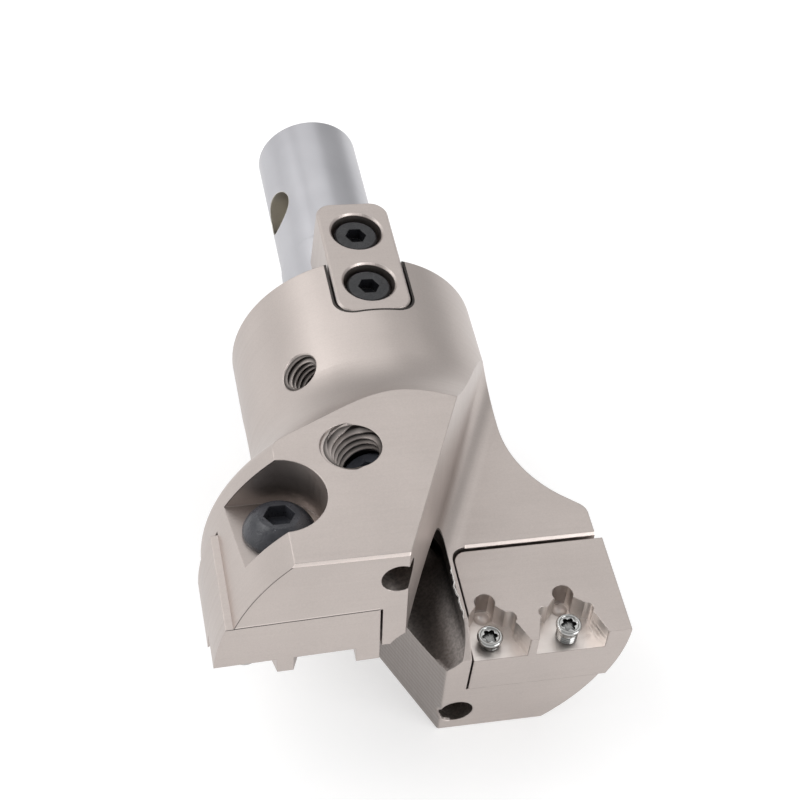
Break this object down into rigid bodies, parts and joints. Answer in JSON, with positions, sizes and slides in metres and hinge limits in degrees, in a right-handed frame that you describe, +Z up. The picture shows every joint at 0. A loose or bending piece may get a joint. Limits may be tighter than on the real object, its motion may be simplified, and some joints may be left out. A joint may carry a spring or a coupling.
{
  "type": "indexable u-drill head",
  "caption": "Replaceable cutting head of a large indexable drill: flared twin-wing body with screwed-in cartridges, insert pockets, coolant outlets, drive key and locating spigot.",
  "frame": {"origin": "on the tool's axis, in the plane of the head's rear face, where the spigot comes out", "axes": "+Y along the axis towards the spigot's end, the cutting end at -Y; +X towards the right wing, whose insert pockets face up; +Z up, out of the left wing's back flat"},
  "size_m": [0.0622, 0.111, 0.045],
  "materials": {
    "nickel_plate": "satin nickel plate over milled and turned steel",
    "ground_steel": "ground bright steel",
    "black_oxide": "black oxide, slightly oily",
    "bright_screw": "bright rolled steel"
  },
  "bodies": {
    "root": {"head_body": "nickel_plate", "drive_key": "nickel_plate", "cartridge_left": "nickel_plate", "cartridge_right": "nickel_plate", "locating_spigot": "ground_steel", "key_screw_front": "black_oxide", "key_screw_rear": "black_oxide", "clamp_screw_left": "black_oxide", "clamp_screw_right": "black_oxide", "set_screw_left": "black_oxide", "set_screw_right": "black_oxide", "insert_screw_left_inner": "bright_screw", "insert_screw_left_outer": "bright_screw", "insert_screw_right_inner": "bright_screw", "insert_screw_right_outer": "bright_screw"}
  },
  "joints": []
}
